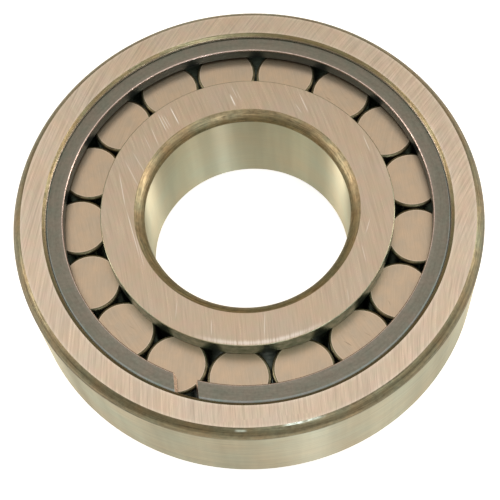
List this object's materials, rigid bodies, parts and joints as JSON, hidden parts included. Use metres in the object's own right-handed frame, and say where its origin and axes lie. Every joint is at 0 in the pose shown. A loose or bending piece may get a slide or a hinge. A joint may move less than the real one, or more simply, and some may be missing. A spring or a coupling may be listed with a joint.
{
  "type": "cylindrical roller bearing",
  "caption": "Full-complement cylindrical roller bearing: an outer ring with one flange and a split snap ring, rollers side by side without a cage, and an inner ring with two flanges.",
  "frame": {"origin": "on the bearing's axis, in the plane of the back faces of the two rings", "axes": "+Z along the axis, from the outer ring's flange towards the snap ring; X and Y radial, with the snap ring's gap towards -Y and a little to -X"},
  "size_m": [0.08, 0.08, 0.021],
  "materials": {
    "ring_steel": "ground bearing steel, fine grinding lines on the faces, smooth bore and outside",
    "roller_steel": "ground bearing steel, satin end faces and polished sides",
    "snap_ring_steel": "spring steel with a dark phosphated surface, bright on its sheared ends"
  },
  "bodies": {
    "outer_ring": {"outer_ring": "ring_steel", "snap_ring": "snap_ring_steel"},
    "inner_ring": {"inner_ring": "ring_steel"},
    "roller_01": {"roller_01": "roller_steel"},
    "roller_02": {"roller_02": "roller_steel"},
    "roller_03": {"roller_03": "roller_steel"},
    "roller_04": {"roller_04": "roller_steel"},
    "roller_05": {"roller_05": "roller_steel"},
    "roller_06": {"roller_06": "roller_steel"},
    "roller_07": {"roller_07": "roller_steel"},
    "roller_08": {"roller_08": "roller_steel"},
    "roller_09": {"roller_09": "roller_steel"},
    "roller_10": {"roller_10": "roller_steel"},
    "roller_11": {"roller_11": "roller_steel"},
    "roller_12": {"roller_12": "roller_steel"},
    "roller_13": {"roller_13": "roller_steel"},
    "roller_14": {"roller_14": "roller_steel"},
    "roller_15": {"roller_15": "roller_steel"},
    "roller_16": {"roller_16": "roller_steel"},
    "roller_17": {"roller_17": "roller_steel"}
  },
  "joints": [
    {"name": "inner_ring_turn", "type": "hinge", "parent": "outer_ring", "child": "inner_ring", "pos_m": [0, 0, 0.0105], "axis": [0, 0, 1], "continuous": true},
    {"name": "roller_orbit", "type": "hinge", "parent": "outer_ring", "child": "roller_01", "pos_m": [0, 0, 0.0105], "axis": [0, 0, 1], "continuous": true},
    {"name": "roller_02_spin", "type": "hinge", "parent": "roller_01", "child": "roller_02", "pos_m": [0.0064, -0.02821, 0.0105], "axis": [0, 0, 1], "continuous": true},
    {"name": "roller_03_spin", "type": "hinge", "parent": "roller_01", "child": "roller_03", "pos_m": [0.01616, -0.02399, 0.0105], "axis": [0, 0, 1], "continuous": true},
    {"name": "roller_04_spin", "type": "hinge", "parent": "roller_01", "child": "roller_04", "pos_m": [0.02373, -0.01654, 0.0105], "axis": [0, 0, 1], "continuous": true},
    {"name": "roller_05_spin", "type": "hinge", "parent": "roller_01", "child": "roller_05", "pos_m": [0.0281, -0.00685, 0.0105], "axis": [0, 0, 1], "continuous": true},
    {"name": "roller_06_spin", "type": "hinge", "parent": "roller_01", "child": "roller_06", "pos_m": [0.02868, 0.00377, 0.0105], "axis": [0, 0, 1], "continuous": true},
    {"name": "roller_07_spin", "type": "hinge", "parent": "roller_01", "child": "roller_07", "pos_m": [0.02538, 0.01387, 0.0105], "axis": [0, 0, 1], "continuous": true},
    {"name": "roller_08_spin", "type": "hinge", "parent": "roller_01", "child": "roller_08", "pos_m": [0.01866, 0.0221, 0.0105], "axis": [0, 0, 1], "continuous": true},
    {"name": "roller_09_spin", "type": "hinge", "parent": "roller_01", "child": "roller_09", "pos_m": [0.00941, 0.02735, 0.0105], "axis": [0, 0, 1], "continuous": true},
    {"name": "roller_10_spin", "type": "hinge", "parent": "roller_01", "child": "roller_10", "pos_m": [-0.0011, 0.0289, 0.0105], "axis": [0, 0, 1], "continuous": true},
    {"name": "roller_11_spin", "type": "hinge", "parent": "roller_01", "child": "roller_11", "pos_m": [-0.01147, 0.02655, 0.0105], "axis": [0, 0, 1], "continuous": true},
    {"name": "roller_12_spin", "type": "hinge", "parent": "roller_01", "child": "roller_12", "pos_m": [-0.02029, 0.02062, 0.0105], "axis": [0, 0, 1], "continuous": true},
    {"name": "roller_13_spin", "type": "hinge", "parent": "roller_01", "child": "roller_13", "pos_m": [-0.02637, 0.01189, 0.0105], "axis": [0, 0, 1], "continuous": true},
    {"name": "roller_14_spin", "type": "hinge", "parent": "roller_01", "child": "roller_14", "pos_m": [-0.02888, 0.00157, 0.0105], "axis": [0, 0, 1], "continuous": true},
    {"name": "roller_15_spin", "type": "hinge", "parent": "roller_01", "child": "roller_15", "pos_m": [-0.0275, -0.00897, 0.0105], "axis": [0, 0, 1], "continuous": true},
    {"name": "roller_16_spin", "type": "hinge", "parent": "roller_01", "child": "roller_16", "pos_m": [-0.0224, -0.0183, 0.0105], "axis": [0, 0, 1], "continuous": true},
    {"name": "roller_17_spin", "type": "hinge", "parent": "roller_01", "child": "roller_17", "pos_m": [-0.01428, -0.02516, 0.0105], "axis": [0, 0, 1], "continuous": true}
  ],
  "couplings": [
    {"joint": "roller_orbit", "follows": "inner_ring_turn", "ratio": 0.40925},
    {"joint": "roller_02_spin", "follows": "inner_ring_turn", "ratio": -2.664},
    {"joint": "roller_03_spin", "follows": "inner_ring_turn", "ratio": -2.664},
    {"joint": "roller_04_spin", "follows": "inner_ring_turn", "ratio": -2.664},
    {"joint": "roller_05_spin", "follows": "inner_ring_turn", "ratio": -2.664},
    {"joint": "roller_06_spin", "follows": "inner_ring_turn", "ratio": -2.664},
    {"joint": "roller_07_spin", "follows": "inner_ring_turn", "ratio": -2.664},
    {"joint": "roller_08_spin", "follows": "inner_ring_turn", "ratio": -2.664},
    {"joint": "roller_09_spin", "follows": "inner_ring_turn", "ratio": -2.664},
    {"joint": "roller_10_spin", "follows": "inner_ring_turn", "ratio": -2.664},
    {"joint": "roller_11_spin", "follows": "inner_ring_turn", "ratio": -2.664},
    {"joint": "roller_12_spin", "follows": "inner_ring_turn", "ratio": -2.664},
    {"joint": "roller_13_spin", "follows": "inner_ring_turn", "ratio": -2.664},
    {"joint": "roller_14_spin", "follows": "inner_ring_turn", "ratio": -2.664},
    {"joint": "roller_15_spin", "follows": "inner_ring_turn", "ratio": -2.664},
    {"joint": "roller_16_spin", "follows": "inner_ring_turn", "ratio": -2.664},
    {"joint": "roller_17_spin", "follows": "inner_ring_turn", "ratio": -2.664}
  ]
}
